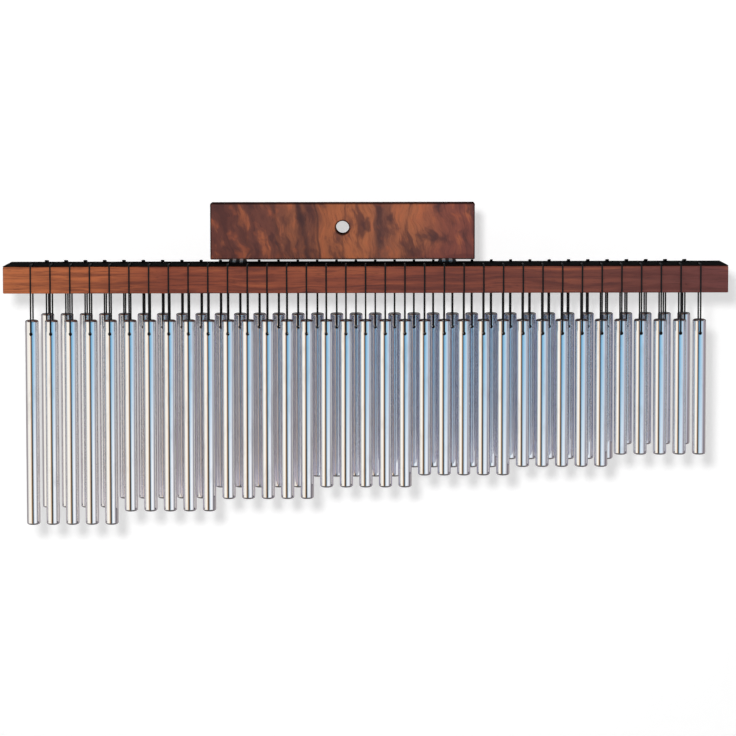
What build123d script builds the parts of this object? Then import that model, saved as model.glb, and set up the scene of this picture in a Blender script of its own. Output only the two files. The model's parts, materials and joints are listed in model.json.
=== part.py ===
from build123d import *
import os

# Double-row bar chimes, in millimetres. The origin is the centre of the hang hole, halfway through
# the hanger board. +X runs towards the short bars, +Y to the back and +Z up.

# Bars: solid rods in sets of one length, each with a cord hole across it below its top
bar_diameter = 9.525
bar_edge_radius = 1.4
bar_pitch = 13.97
front_set_lengths = (146.5, 137.0, 128.2, 120.0, 111.5, 105.5, 96.8)
front_set_counts = (5, 5, 5, 5, 5, 5, 5)
rear_set_lengths = (141.5, 135.0, 127.0, 119.2, 112.5, 106.7, 96.0)
rear_set_counts = (4, 5, 5, 5, 5, 6, 4)
front_bar_drop = 19.2
rear_bar_drop = 17.6
bar_hole_diameter = 2.1
bar_hole_depth = 9.6
bar_hole_edge_break = 0.45

# Cords: one closed loop for each bar
cord_diameter = 1.2
cord_clearance = 0.1

# Mantle, the beam that carries both rows, and the strip that covers its top
mantle_length = 514.35
mantle_depth = 38.1
mantle_height = 19.05
mantle_edge_radius = 0.8
mantle_rim_radius = 0.7
mantle_offset = 16.5
mantle_hole_diameter = 1.9
strip_thickness = 0.5
strip_edge_radius = 0.45

# Hanger board
board_length = 190.0
board_height = 40.5
board_thickness = 15.875
board_edge_radius = 0.8
hang_hole_diameter = 9.525
hang_hole_height = 22.9

# Hinges between the hanger board and the mantle
hinge_spacing = 150.0
hinge_width = 12.3
knuckle_count = 5
knuckle_gap = 0.15
barrel_diameter = 3.2
barrel_standoff = 0.3
leaf_thickness = 0.8
leaf_reach = 7.3
leaf_fit = 0.1
pin_diameter = 1.6
pin_clearance = 0.05
pin_overhang = 0.4
pin_chamfer = 0.3

# Countersunk hinge screws
screw_diameter = 1.6
screw_head_diameter = 3.0
screw_length = 9.0
screw_point_length = 1.5
screw_spacing = 6.2
screw_clearance = 0.05

# Sizes and places that follow from the ones above
bar_radius = bar_diameter / 2
bar_hole_radius = bar_hole_diameter / 2
cord_radius = cord_diameter / 2
cord_standoff = cord_radius + cord_clearance
barrel_radius = barrel_diameter / 2
pin_radius = pin_diameter / 2
screw_radius = screw_diameter / 2
screw_head_radius = screw_head_diameter / 2
screw_head_height = screw_head_radius - screw_radius

board_bottom = -hang_hole_height
board_front = -board_thickness / 2
pin_y = board_front - barrel_standoff - barrel_radius
pin_z = board_bottom + leaf_thickness - knuckle_gap - barrel_radius
strip_top = pin_z - barrel_radius - knuckle_gap
mantle_top = strip_top - strip_thickness
mantle_bottom = mantle_top - mantle_height
mantle_front = pin_y - mantle_depth / 2
mantle_back = pin_y + mantle_depth / 2
front_row_y = mantle_front + bar_radius
rear_row_y = mantle_back - bar_radius

loop_half_width = bar_radius + cord_standoff
loop_corner_radius = strip_edge_radius + cord_standoff
front_hole_y = front_row_y + loop_half_width
rear_hole_y = rear_row_y - loop_half_width

hinge_places = {"left": -hinge_spacing / 2, "right": hinge_spacing / 2}
knuckle_length = (hinge_width - (knuckle_count - 1) * knuckle_gap) / knuckle_count
mantle_knuckles = range(0, knuckle_count, 2)
board_knuckles = range(1, knuckle_count, 2)
leaf_back = pin_y + leaf_reach
screw_y = (pin_y + barrel_radius + leaf_back) / 2


def row_places(count):
    """The X of each bar in a row, spread evenly about the middle of the mantle."""
    return [mantle_offset + (index - (count - 1) / 2) * bar_pitch for index in range(count)]


front_x = row_places(sum(front_set_counts))
rear_x = row_places(sum(rear_set_counts))


def screw_places(height):
    """Where the screws of both hinges go through a leaf, at one height."""
    return [
        (hinge_x + side * screw_spacing / 2, screw_y, height)
        for hinge_x in hinge_places.values()
        for side in (-1, 1)
    ]


def make_bar(length):
    """A rod with its top face centred on the origin, rounded rims and a cord hole along Y."""
    with BuildPart() as bar:
        with BuildSketch(Plane.XZ):
            with BuildLine():
                Polyline((0, 0), (bar_radius, 0), (bar_radius, -length), (0, -length), close=True)
            make_face()
            fillet(faces().vertices().group_by(Axis.X)[-1], bar_edge_radius)
        revolve(axis=Axis.Z)
        for side in (-1, 1):
            mouth = Plane((0, side * bar_radius, -bar_hole_depth), z_dir=(0, side, 0))
            with Locations(mouth):
                CounterSinkHole(
                    bar_hole_radius,
                    bar_hole_radius + bar_hole_edge_break,
                    depth=bar_diameter,
                    counter_sink_angle=90,
                )
    return bar.part


def make_cord_loop(row_y, drop):
    """A closed loop in the YZ plane: over the strip, down the mantle and through a bar's cord hole."""
    bar_hole_z = mantle_bottom - drop - bar_hole_depth
    loop_top = strip_top + cord_standoff
    loop_bottom = bar_hole_z + bar_hole_radius - cord_standoff
    corners = [
        (row_y - loop_half_width, loop_top),
        (row_y + loop_half_width, loop_top),
        (row_y + loop_half_width, loop_bottom),
        (row_y - loop_half_width, loop_bottom),
    ]
    with BuildPart() as loop:
        with BuildLine(Plane.YZ) as route:
            FilletPolyline(*corners, radius=loop_corner_radius, close=True)
        start = route.wires()[0]
        with BuildSketch(Plane(start @ 0, z_dir=start % 0)):
            Circle(cord_radius)
        sweep(path=start)
    return loop.part


def make_hinge_leaf(hinge_x, plate_bottom, own_knuckles, screw_face, screw_direction):
    """A hinge leaf: its plate, its share of the knuckles, the pin bore and two countersunk holes."""
    knuckle_step = knuckle_length + knuckle_gap
    first_knuckle = hinge_x - knuckle_step * (knuckle_count - 1) / 2
    with BuildPart() as leaf:
        with BuildSketch(Plane.XY.offset(plate_bottom)):
            with Locations((hinge_x, pin_y)):
                Rectangle(hinge_width, leaf_reach, align=(Align.CENTER, Align.MIN))
        extrude(amount=leaf_thickness)
        for index in range(knuckle_count):
            with Locations((first_knuckle + index * knuckle_step, pin_y, pin_z)):
                if index in own_knuckles:
                    Cylinder(barrel_radius, knuckle_length, rotation=(0, 90, 0))
                else:
                    Cylinder(
                        barrel_radius + knuckle_gap,
                        knuckle_length + 2 * knuckle_gap,
                        rotation=(0, 90, 0),
                        mode=Mode.SUBTRACT,
                    )
        with Locations((hinge_x, pin_y, pin_z)):
            Cylinder(pin_radius + pin_clearance, hinge_width, rotation=(0, 90, 0), mode=Mode.SUBTRACT)
        for side in (-1, 1):
            place = (hinge_x + side * screw_spacing / 2, screw_y, screw_face)
            with Locations(Plane(place, z_dir=(0, 0, -screw_direction))):
                CounterSinkHole(
                    screw_radius + screw_clearance,
                    screw_head_radius + screw_clearance,
                    depth=leaf_thickness,
                    counter_sink_angle=90,
                )
    return leaf.part


def make_screw(direction):
    """A countersunk screw with its head's face on the origin, pointing up or down."""
    with BuildPart() as screw:
        with BuildSketch(Plane.XZ):
            with BuildLine():
                Polyline(
                    (0, 0),
                    (screw_head_radius, 0),
                    (screw_radius, direction * screw_head_height),
                    (screw_radius, direction * (screw_length - screw_point_length)),
                    (0, direction * screw_length),
                    close=True,
                )
            make_face()
        revolve(axis=Axis.Z)
    return screw.part


def write_piece(piece, name):
    """Label a finished piece and write it to its own file."""
    piece.part.label = name
    export_step(piece.part, f"parts/{name}.step")


os.makedirs("parts", exist_ok=True)

# Hanger board: eased edges, the hang hole, a mortise for each hinge leaf and screw pilot holes
with BuildPart() as hanger_board:
    with BuildSketch(Plane.XZ.offset(-board_thickness / 2)):
        with Locations((0, board_bottom)):
            Rectangle(board_length, board_height, align=(Align.CENTER, Align.MIN))
    extrude(amount=board_thickness)
    fillet(hanger_board.edges(), board_edge_radius)
    with Locations(Plane((0, board_front, 0), z_dir=(0, -1, 0))):
        Hole(hang_hole_diameter / 2, board_thickness)
    with BuildSketch(Plane.XY.offset(board_bottom)):
        for hinge_x in hinge_places.values():
            with Locations((hinge_x, board_front)):
                mortise_depth = leaf_back + leaf_fit - board_front
                Rectangle(hinge_width + 2 * leaf_fit, mortise_depth, align=(Align.CENTER, Align.MIN))
    extrude(amount=leaf_thickness, mode=Mode.SUBTRACT)
    with BuildSketch(Plane.XY.offset(board_bottom)):
        with Locations(*screw_places(0)):
            Circle(screw_radius + screw_clearance)
    extrude(amount=screw_length, mode=Mode.SUBTRACT)
write_piece(hanger_board, "hanger_board")

# Mantle: a plain beam with a cord hole behind every bar and screw pilot holes
cord_hole_places = [(x, front_hole_y) for x in front_x] + [(x, rear_hole_y) for x in rear_x]
with BuildPart() as mantle:
    with BuildSketch(Plane.XY.offset(mantle_bottom)):
        with Locations((mantle_offset, pin_y)):
            RectangleRounded(mantle_length, mantle_depth, mantle_edge_radius)
    extrude(amount=mantle_height)
    fillet(mantle.faces().sort_by(Axis.Z)[0].edges(), mantle_rim_radius)
    with BuildSketch(Plane.XY.offset(mantle_bottom)):
        with Locations(*cord_hole_places):
            Circle(mantle_hole_diameter / 2)
    extrude(amount=mantle_height, mode=Mode.SUBTRACT)
    with BuildSketch(Plane.XY.offset(mantle_top)):
        with Locations(*screw_places(0)):
            Circle(screw_radius + screw_clearance)
    extrude(amount=-screw_length, mode=Mode.SUBTRACT)
write_piece(mantle, "mantle")

# Strip on the mantle's top, with a rounded rim for the cords and the same holes
with BuildPart() as top_strip:
    with BuildSketch(Plane.XY.offset(mantle_top)):
        with Locations((mantle_offset, pin_y)):
            RectangleRounded(mantle_length, mantle_depth, mantle_edge_radius)
    extrude(amount=strip_thickness)
    fillet(top_strip.faces().sort_by(Axis.Z)[-1].edges(), strip_edge_radius)
    with BuildSketch(Plane.XY.offset(mantle_top)):
        with Locations(*cord_hole_places):
            Circle(mantle_hole_diameter / 2)
        with Locations(*screw_places(0)):
            Circle(screw_radius + screw_clearance)
    extrude(amount=strip_thickness, mode=Mode.SUBTRACT)
write_piece(top_strip, "top_strip")

# Hinges: a leaf in the board, a leaf on the strip and a pin
board_leaf_face = board_bottom
mantle_leaf_face = strip_top + leaf_thickness
for side_name, hinge_x in hinge_places.items():
    with BuildPart() as board_leaf:
        add(make_hinge_leaf(hinge_x, board_bottom, board_knuckles, board_leaf_face, 1))
    write_piece(board_leaf, f"{side_name}_hinge_board_leaf")

    with BuildPart() as mantle_leaf:
        add(make_hinge_leaf(hinge_x, strip_top, mantle_knuckles, mantle_leaf_face, -1))
    write_piece(mantle_leaf, f"{side_name}_hinge_mantle_leaf")

    with BuildPart() as hinge_pin:
        with Locations((hinge_x, pin_y, pin_z)):
            Cylinder(pin_radius, hinge_width + 2 * pin_overhang, rotation=(0, 90, 0))
        chamfer(hinge_pin.edges().filter_by(GeomType.CIRCLE), pin_chamfer)
    write_piece(hinge_pin, f"{side_name}_hinge_pin")

# Hinge screws
with BuildPart() as board_leaf_screws:
    with Locations(*screw_places(board_leaf_face)):
        add(make_screw(1))
write_piece(board_leaf_screws, "board_leaf_screws")

with BuildPart() as mantle_leaf_screws:
    with Locations(*screw_places(mantle_leaf_face)):
        add(make_screw(-1))
write_piece(mantle_leaf_screws, "mantle_leaf_screws")

# Cord loops of each row
with BuildPart() as front_cords:
    with Locations(*[(x, 0, 0) for x in front_x]):
        add(make_cord_loop(front_row_y, front_bar_drop))
write_piece(front_cords, "front_cords")

with BuildPart() as rear_cords:
    with Locations(*[(x, 0, 0) for x in rear_x]):
        add(make_cord_loop(rear_row_y, rear_bar_drop))
write_piece(rear_cords, "rear_cords")

# Front bars, one piece each, from long to short
front_top = mantle_bottom - front_bar_drop
bar_number = 0
for length, count in zip(front_set_lengths, front_set_counts):
    bar_shape = make_bar(length)
    for _ in range(count):
        with BuildPart() as front_bar:
            with Locations((front_x[bar_number], front_row_y, front_top)):
                add(bar_shape)
        bar_number += 1
        write_piece(front_bar, f"front_bar_{bar_number:02d}")

# Rear bars, in sets of one length
rear_top = mantle_bottom - rear_bar_drop
first_bar = 0
for set_number, (length, count) in enumerate(zip(rear_set_lengths, rear_set_counts), start=1):
    set_x = rear_x[first_bar:first_bar + count]
    first_bar += count
    with BuildPart() as rear_bars:
        with Locations(*[(x, rear_row_y, rear_top) for x in set_x]):
            add(make_bar(length))
    write_piece(rear_bars, f"rear_bars_set_{set_number}")
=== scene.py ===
"""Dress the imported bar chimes: polished bars on cord loops, figured wood, a felt strip and black hinges.

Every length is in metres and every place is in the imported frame: +X runs along the mantle towards the
short bars, +Y out of the back and +Z up, from the middle of the hang hole.
"""

from __future__ import annotations

import json
import logging
import math
from dataclasses import dataclass, field
from enum import Enum
from typing import Callable, Optional, Union

import bmesh
import bpy
from mathutils import Matrix, Vector

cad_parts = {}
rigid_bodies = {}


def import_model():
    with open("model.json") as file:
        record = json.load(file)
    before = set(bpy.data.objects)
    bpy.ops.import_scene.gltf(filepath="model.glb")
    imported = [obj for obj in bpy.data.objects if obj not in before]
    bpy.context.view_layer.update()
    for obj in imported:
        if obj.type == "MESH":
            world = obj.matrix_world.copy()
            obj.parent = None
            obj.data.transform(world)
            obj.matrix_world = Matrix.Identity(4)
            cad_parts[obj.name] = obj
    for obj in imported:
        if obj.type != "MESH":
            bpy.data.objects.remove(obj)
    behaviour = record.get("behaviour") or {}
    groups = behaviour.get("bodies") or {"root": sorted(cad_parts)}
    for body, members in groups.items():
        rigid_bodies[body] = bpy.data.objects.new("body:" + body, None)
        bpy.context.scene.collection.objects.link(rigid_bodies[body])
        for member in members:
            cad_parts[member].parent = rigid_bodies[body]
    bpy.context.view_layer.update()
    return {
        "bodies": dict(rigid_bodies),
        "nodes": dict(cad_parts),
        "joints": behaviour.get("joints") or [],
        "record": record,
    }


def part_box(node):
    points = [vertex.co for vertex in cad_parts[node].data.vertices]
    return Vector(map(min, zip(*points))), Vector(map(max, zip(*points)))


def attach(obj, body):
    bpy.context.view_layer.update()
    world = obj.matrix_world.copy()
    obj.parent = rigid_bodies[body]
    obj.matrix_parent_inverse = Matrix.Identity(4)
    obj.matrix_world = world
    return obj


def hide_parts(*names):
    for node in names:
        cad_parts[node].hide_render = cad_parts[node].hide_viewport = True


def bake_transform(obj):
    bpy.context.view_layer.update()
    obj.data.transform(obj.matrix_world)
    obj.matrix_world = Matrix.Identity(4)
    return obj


LOG = logging.getLogger("bar_chimes")
MM = 0.001
# The sharpest corner that is shaded smoothly, in degrees
SMOOTHEST_CORNER = 32.0

Socket = bpy.types.NodeSocket
Value = Union[Socket, float, tuple]
Colour = tuple[float, float, float, float]
Stops = tuple[tuple[float, Colour], ...]
# From where to where
Span = tuple[float, float]
# From which value to which, and from which result to which
Change = tuple[float, float, float, float]
EdgeTest = Callable[[bmesh.types.BMEdge], bool]


class Body(str, Enum):
    """The two named bodies that carry more than one piece."""

    BOARD = "board"
    MANTLE = "mantle"


class Slot(str, Enum):
    """The record's material slots."""

    BOARD_WOOD = "board_wood"
    MANTLE_WOOD = "mantle_wood"
    STRIP_BLACK = "strip_black"
    BAR_METAL = "bar_metal"
    CORD_BLACK = "cord_black"


class Row(str, Enum):
    """The two rows of bars."""

    FRONT = "front"
    REAR = "rear"


def grey(level: float) -> Colour:
    """Return a linear grey."""
    return (level, level, level, 1.0)


def screen(*channels: int) -> Colour:
    """Turn an eight-bit screen colour into the linear colour that a shader takes.

    Args:
        *channels: Red, green and blue, from 0 to 255.

    Returns:
        The linear colour with full alpha.
    """
    shares = [channel / 255 for channel in channels]
    red, green, blue = (s / 12.92 if s <= 0.04045 else ((s + 0.055) / 1.055) ** 2.4 for s in shares)
    return (red, green, blue, 1.0)


class Graph:
    """The nodes of one material or world, with a short call for each kind of node used here."""

    def __init__(self, owner: bpy.types.ID) -> None:
        """Start an empty tree.

        Args:
            owner: The material or world that the nodes belong to.
        """
        owner.use_nodes = True
        self.tree = owner.node_tree
        self.tree.nodes.clear()

    def add(self, kind: str, inputs: Optional[dict] = None, **settings: object) -> bpy.types.Node:
        """Add a node, set its options and feed its sockets.

        Args:
            kind: The node's type, without the word that every type starts with.
            inputs: Outputs to link or plain values to set, by the socket's name or number.
            **settings: The node's options, by name.

        Returns:
            The new node.
        """
        node = self.tree.nodes.new(f"ShaderNode{kind}")
        for name, setting in settings.items():
            setattr(node, name, setting)
        for key, value in (inputs or {}).items():
            if isinstance(value, Socket):
                self.tree.links.new(value, node.inputs[key])
            else:
                node.inputs[key].default_value = value
        return node

    def place(self) -> Socket:
        """Return the Object coordinates."""
        return self.add("TexCoord").outputs["Object"]

    def axes(self, vector: Socket) -> tuple[Socket, Socket, Socket]:
        """Split a vector into its three parts."""
        return tuple(self.add("SeparateXYZ", {0: vector}).outputs)

    def vector(self, x: Value, y: Value, z: Value) -> Socket:
        """Join three parts into a vector."""
        return self.add("CombineXYZ", {0: x, 1: y, 2: z}).outputs[0]

    def math(self, operation: str, first: Value, second: Value = 0.0, clamp: bool = False) -> Socket:
        """Work out an operation on two values, kept from 0 to 1 where it is clamped."""
        return self.add("Math", {0: first, 1: second}, operation=operation, use_clamp=clamp).outputs[0]

    def share(self, value: Socket, start: float, end: float) -> Socket:
        """Return how far a value is on its way from a start to an end, from 0 to 1."""
        return self.math("DIVIDE", self.math("SUBTRACT", value, start), end - start, clamp=True)

    def distance(self, first: Socket, second: Socket) -> Socket:
        """Return the length of a flat vector from its two parts."""
        squares = [self.math("MULTIPLY", part, part) for part in (first, second)]
        return self.math("SQRT", self.math("ADD", *squares))

    def span(self, value: Socket, low: float, high: float, bottom: float = 0.0, top: float = 1.0) -> Socket:
        """Map the range from low to high smoothly to the range from bottom to top."""
        fed = {"Value": value, "From Min": low, "From Max": high, "To Min": bottom, "To Max": top}
        return self.add("MapRange", fed, interpolation_type="SMOOTHSTEP").outputs[0]

    def mix(self, factor: Value, first: Value, second: Value) -> Socket:
        """Mix a second colour into a first one, through the node's colour sockets."""
        return self.add("Mix", {0: factor, 6: first, 7: second}, data_type="RGBA").outputs[2]

    def ramp(self, factor: Socket, stops: Stops) -> Socket:
        """Colour a value by stops.

        Args:
            factor: The value, from 0 to 1.
            stops: Places from 0 to 1 with their colours, in order.

        Returns:
            The colour.
        """
        node = self.add("ValToRGB", {0: factor})
        elements = node.color_ramp.elements
        while len(elements) < len(stops):
            elements.new(1.0)
        for element, (position, colour) in zip(elements, stops):
            element.position = position
            element.color = colour
        return node.outputs[0]

    def bump(self, height: Socket, strength: float, distance: float) -> Socket:
        """Turn a height from 0 to 1 into a normal, by how much of it is used and its full size."""
        return self.add("Bump", {"Height": height, "Strength": strength, "Distance": distance}).outputs[0]

    def surface(self, **inputs: Value) -> None:
        """Add the surface shader, whose inputs have underscores for spaces, and join it to the output."""
        fed = {name.replace("_", " "): value for name, value in inputs.items()}
        self.close(self.add("BsdfPrincipled", fed).outputs[0])

    def close(self, shader: Socket, kind: str = "OutputMaterial") -> None:
        """Join a shader to an output of the given kind."""
        self.add(kind, {"Surface": shader})


@dataclass(frozen=True)
class Stain:
    """A colour that lies on a surface, and how its strength follows a noise."""

    change: Change
    colour: Colour


@dataclass(frozen=True)
class Layer:
    """Noise that is stretched along a grain, and the stains that follow it.

    Attributes:
        stretch: Cells to a metre along each axis.
        detail: Octaves of finer noise.
        rough: How much the finer octaves count.
        warp: How far the pattern is pushed about.
        stains: The stains, in the order in which they are laid.
    """

    stretch: tuple[float, float, float]
    detail: float
    rough: float = 0.5
    warp: float = 0.0
    stains: tuple[Stain, ...] = ()

    def read(self, g: Graph, place: Socket) -> Socket:
        """Read the noise.

        Args:
            g: The material's nodes.
            place: Where it is read.

        Returns:
            The noise, from 0 to 1.
        """
        stretched = g.add("Mapping", {"Vector": place, "Scale": self.stretch}).outputs[0]
        fed = {"Vector": stretched, "Scale": 1.0}
        fed.update({"Detail": self.detail, "Roughness": self.rough, "Distortion": self.warp})
        return g.add("TexNoise", fed).outputs[0]

    def stain(self, g: Graph, noise: Socket, colour: Value) -> Value:
        """Lay the stains over a colour.

        Args:
            g: The material's nodes.
            noise: The layer's noise.
            colour: The colour.

        Returns:
            The stained colour.
        """
        for stain in self.stains:
            colour = g.mix(g.span(noise, *stain.change), colour, stain.colour)
        return colour


@dataclass(frozen=True)
class Finish:
    """What a surface is made of, under its material's name."""

    name: str

    def make(self) -> bpy.types.Material:
        """Build the material.

        Returns:
            The material.
        """
        material = bpy.data.materials.new(self.name)
        self.draw(Graph(material))
        return material

    def draw(self, g: Graph) -> None:
        """Lay out the material's nodes."""
        raise NotImplementedError


@dataclass(frozen=True)
class Wood(Finish):
    """Hardwood under satin lacquer.

    Attributes:
        tones: Colours along the piece, from its left end to its right end.
        drift: By what the grain strays.
        fibre: Fine lines along the grain.
        pores: Open pores.
        relief: How much of the grain's relief is used.
        depth: The relief's full size.
        pits: How the pores sink in.
        shine: How the roughness follows the fibres.
    """

    tones: Stops
    drift: Layer
    fibre: Layer
    pores: Layer
    relief: float
    depth: float = 0.25 * MM
    pits: Change = (0.62, 0.74, 0.0, 0.5)
    shine: Change = (0.3, 0.7, 0.46, 0.34)

    def add_grain(self, g: Graph, flow: Socket, colour: Value) -> dict[str, Value]:
        """Lay fibres and pores over a colour.

        Args:
            g: The material's nodes.
            flow: Places along the straying grain.
            colour: The wood's colour.

        Returns:
            The surface shader's colour, roughness and normal.
        """
        fibre, pores = (layer.read(g, flow) for layer in (self.fibre, self.pores))
        grain = g.math("SUBTRACT", fibre, g.span(pores, *self.pits))
        return {
            "Base_Color": self.pores.stain(g, pores, self.fibre.stain(g, fibre, colour)),
            "Roughness": g.span(fibre, *self.shine),
            "Normal": g.bump(grain, self.relief, self.depth),
        }


@dataclass(frozen=True)
class Streak:
    """A dark line in the board's figure.

    Attributes:
        place: Where it crosses the middle of the board, along X.
        width: Its half width.
        lean: How far it moves along X for each metre up.
        depth: How much of the wood's light it takes, from 0 to 1.
    """

    place: float
    width: float
    lean: float
    depth: float


@dataclass(frozen=True)
class BoardWood(Wood):
    """Figured hardwood of the hanger board: dark flames over orange and red-brown.

    Attributes:
        flames: Tall dark and light flames.
        blots: Dark and light blots.
        wander: How far the figure strays from straight lines.
        lean: How far the figure leans to the left for each metre up.
        streaks: Dark lines of the figure.
        streak_colour: Their colour.
        knot: Middle of the swirl near the right end.
        knot_reach: How far the swirl reaches.
        knot_squash: How the swirl is squashed along and up.
        knot_stray: By what its rings stray.
        knot_wobble: How far they stray.
        knot_ring: Width of a ring.
        knot_colours: Colours of the swirl and of its rings.
        low: The board's lower left corner, seen from the front.
        high: Its upper right corner.
        hole: Radius of the hang hole.
        rim: From which distance to which the painted shade along the edges and the hole ends.
        edge_shade_colour: The painted shade's colour.
    """

    name: str = "board_wood_figured"
    tones: Stops = (
        (0.00, screen(100, 56, 48)),
        (0.16, screen(104, 60, 51)),
        (0.24, screen(112, 65, 53)),
        (0.31, screen(140, 82, 57)),
        (0.37, screen(112, 66, 52)),
        (0.43, screen(150, 86, 56)),
        (0.52, screen(170, 98, 62)),
        (0.60, screen(166, 97, 63)),
        (0.645, screen(112, 70, 58)),
        (0.70, screen(150, 87, 60)),
        (0.78, screen(162, 95, 63)),
        (0.88, screen(134, 73, 57)),
        (1.00, screen(122, 65, 55)),
    )
    drift: Layer = Layer((30, 8, 40), 2.0)
    fibre: Layer = Layer(
        (560, 60, 45), 4.0, 0.6, stains=(Stain((0.46, 0.72, 0.0, 0.35), screen(78, 44, 40)),)
    )
    pores: Layer = Layer(
        (2400, 700, 130), 2.0, stains=(Stain((0.62, 0.74, 0.0, 0.5), screen(50, 30, 30)),)
    )
    relief: float = 0.16
    flames: Layer = Layer(
        (115, 25, 34),
        4.0,
        0.62,
        stains=(
            Stain((0.47, 0.66, 0.0, 0.78), screen(80, 47, 44)),
            Stain((0.32, 0.47, 0.6, 0.0), screen(184, 102, 64)),
        ),
    )
    blots: Layer = Layer(
        (88, 25, 74),
        3.0,
        0.55,
        stains=(
            Stain((0.53, 0.70, 0.0, 0.7), screen(72, 44, 43)),
            Stain((0.28, 0.42, 0.45, 0.0), screen(172, 90, 58)),
        ),
    )
    wander: float = 9 * MM
    lean: float = 0.15
    streaks: tuple[Streak, ...] = (
        Streak(place=-72 * MM, width=4.0 * MM, lean=-0.25, depth=0.30),
        Streak(place=-48 * MM, width=3.0 * MM, lean=-0.12, depth=0.50),
        Streak(place=-29 * MM, width=4.0 * MM, lean=-0.24, depth=0.72),
        Streak(place=-18 * MM, width=1.5 * MM, lean=-0.14, depth=0.62),
        Streak(place=1 * MM, width=1.2 * MM, lean=0.05, depth=0.35),
        Streak(place=26 * MM, width=4.6 * MM, lean=0.05, depth=0.40),
    )
    streak_colour: Colour = screen(62, 40, 40)
    knot: tuple[float, float] = (90 * MM, -36 * MM)
    knot_reach: float = 34 * MM
    # Give the hole's wall and broken edges the second material, which paints shade into the hole.
    knot_squash: tuple[float, float] = (0.75, 1.3)
    knot_stray: Layer = Layer((70, 70, 70), 2.0)
    knot_wobble: float = 8 * MM
    knot_ring: float = 11 * MM
    knot_colours: tuple[Colour, Colour] = (screen(122, 66, 57), screen(88, 46, 44))
    low: tuple[float, float] = (-95 * MM, -22.9 * MM)
    high: tuple[float, float] = (95 * MM, 17.6 * MM)
    hole: float = 4.7625 * MM
    rim: Span = (0.5 * MM, 1.3 * MM)
    edge_shade_colour: Colour = screen(38, 25, 25)

    def draw(self, g: Graph) -> None:
        """Lay flames, blots, streaks, the swirl, the grain and painted shade along the edges and the hole
        over the tones.

        Args:
            g: The material's nodes.
        """
        place = g.place()
        x, y, z = g.axes(place)
        drift = g.math("SUBTRACT", self.drift.read(g, place), 0.5)
        strayed = g.math("ADD", x, g.math("MULTIPLY", drift, 2 * self.wander))
        colour = g.ramp(g.share(strayed, self.low[0], self.high[0]), self.tones)
        flow = g.vector(g.math("ADD", strayed, g.math("MULTIPLY", z, self.lean)), y, z)
        for layer in (self.flames, self.blots):
            colour = layer.stain(g, layer.read(g, flow), colour)
        steadier = g.math("SUBTRACT", strayed, g.math("MULTIPLY", drift, self.wander))
        colour = self.add_knot(g, self.add_streaks(g, colour, steadier, z), x, z)
        finish = self.add_grain(g, flow, colour)
        inward = self.measure_edges(g, x, z)
        # Painted shade: the edges and the hang hole's rim are darkened, and their specular and coat fade out
        rim = g.span(inward, *self.rim, 0.85, 0.0)
        finish["Base_Color"] = g.mix(rim, finish["Base_Color"], self.edge_shade_colour)
        g.surface(
            Specular_IOR_Level=g.span(inward, *self.rim, 0.0, 0.3),
            Coat_Weight=g.span(inward, *self.rim, 0.0, 0.08),
            Coat_Roughness=0.22,
            **finish,
        )

    def measure_edges(self, g: Graph, x: Socket, z: Socket) -> Socket:
        """Find how far a place is from the board's edges and its hole, where shade is painted and the lacquer
        is dull.

        Args:
            g: The material's nodes.
            x: Place along the board.
            z: Place up the board.

        Returns:
            The distance to the nearest edge.
        """
        nearest = g.math("SUBTRACT", g.distance(x, z), self.hole)
        for place, low, high in zip((x, z), self.low, self.high):
            nearest = g.math("MINIMUM", nearest, g.math("SUBTRACT", place, low))
            nearest = g.math("MINIMUM", nearest, g.math("SUBTRACT", high, place))
        return nearest

    def add_streaks(self, g: Graph, colour: Value, along: Socket, z: Socket) -> Value:
        """Draw the dark lines over a colour.

        Args:
            g: The material's nodes.
            colour: The wood's colour.
            along: Place along the board, strayed a little.
            z: Place up the board.

        Returns:
            The colour with the lines.
        """
        for streak in self.streaks:
            upright = g.math("SUBTRACT", along, g.math("MULTIPLY", z, streak.lean))
            away = g.math("ABSOLUTE", g.math("SUBTRACT", upright, streak.place))
            colour = g.mix(g.span(away, 0.0, streak.width, streak.depth, 0.0), colour, self.streak_colour)
        return colour

    def add_knot(self, g: Graph, colour: Value, x: Socket, z: Socket) -> Socket:
        """Draw the arcs of the swirl near the right end.

        Args:
            g: The material's nodes.
            colour: The wood's colour.
            x: Place along the board.
            z: Place up the board.

        Returns:
            The colour with the swirl.
        """
        offsets = [
            g.math("MULTIPLY", g.math("SUBTRACT", place, middle), squash)
            for place, middle, squash in zip((x, z), self.knot, self.knot_squash)
        ]
        stray = g.math("MULTIPLY", self.knot_stray.read(g, g.place()), self.knot_wobble)
        away = g.math("ADD", g.distance(*offsets), stray)
        inside = g.span(away, 0.8 * self.knot_reach, 1.3 * self.knot_reach, 0.75, 0.0)
        colour = g.mix(inside, colour, self.knot_colours[0])
        rings = g.math("SINE", g.math("MULTIPLY", away, math.tau / self.knot_ring))
        near = g.span(away, 0.75 * self.knot_reach, 1.1 * self.knot_reach, 0.5, 0.0)
        return g.mix(g.math("MULTIPLY", g.span(rings, 0.1, 1.0), near), colour, self.knot_colours[1])


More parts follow.
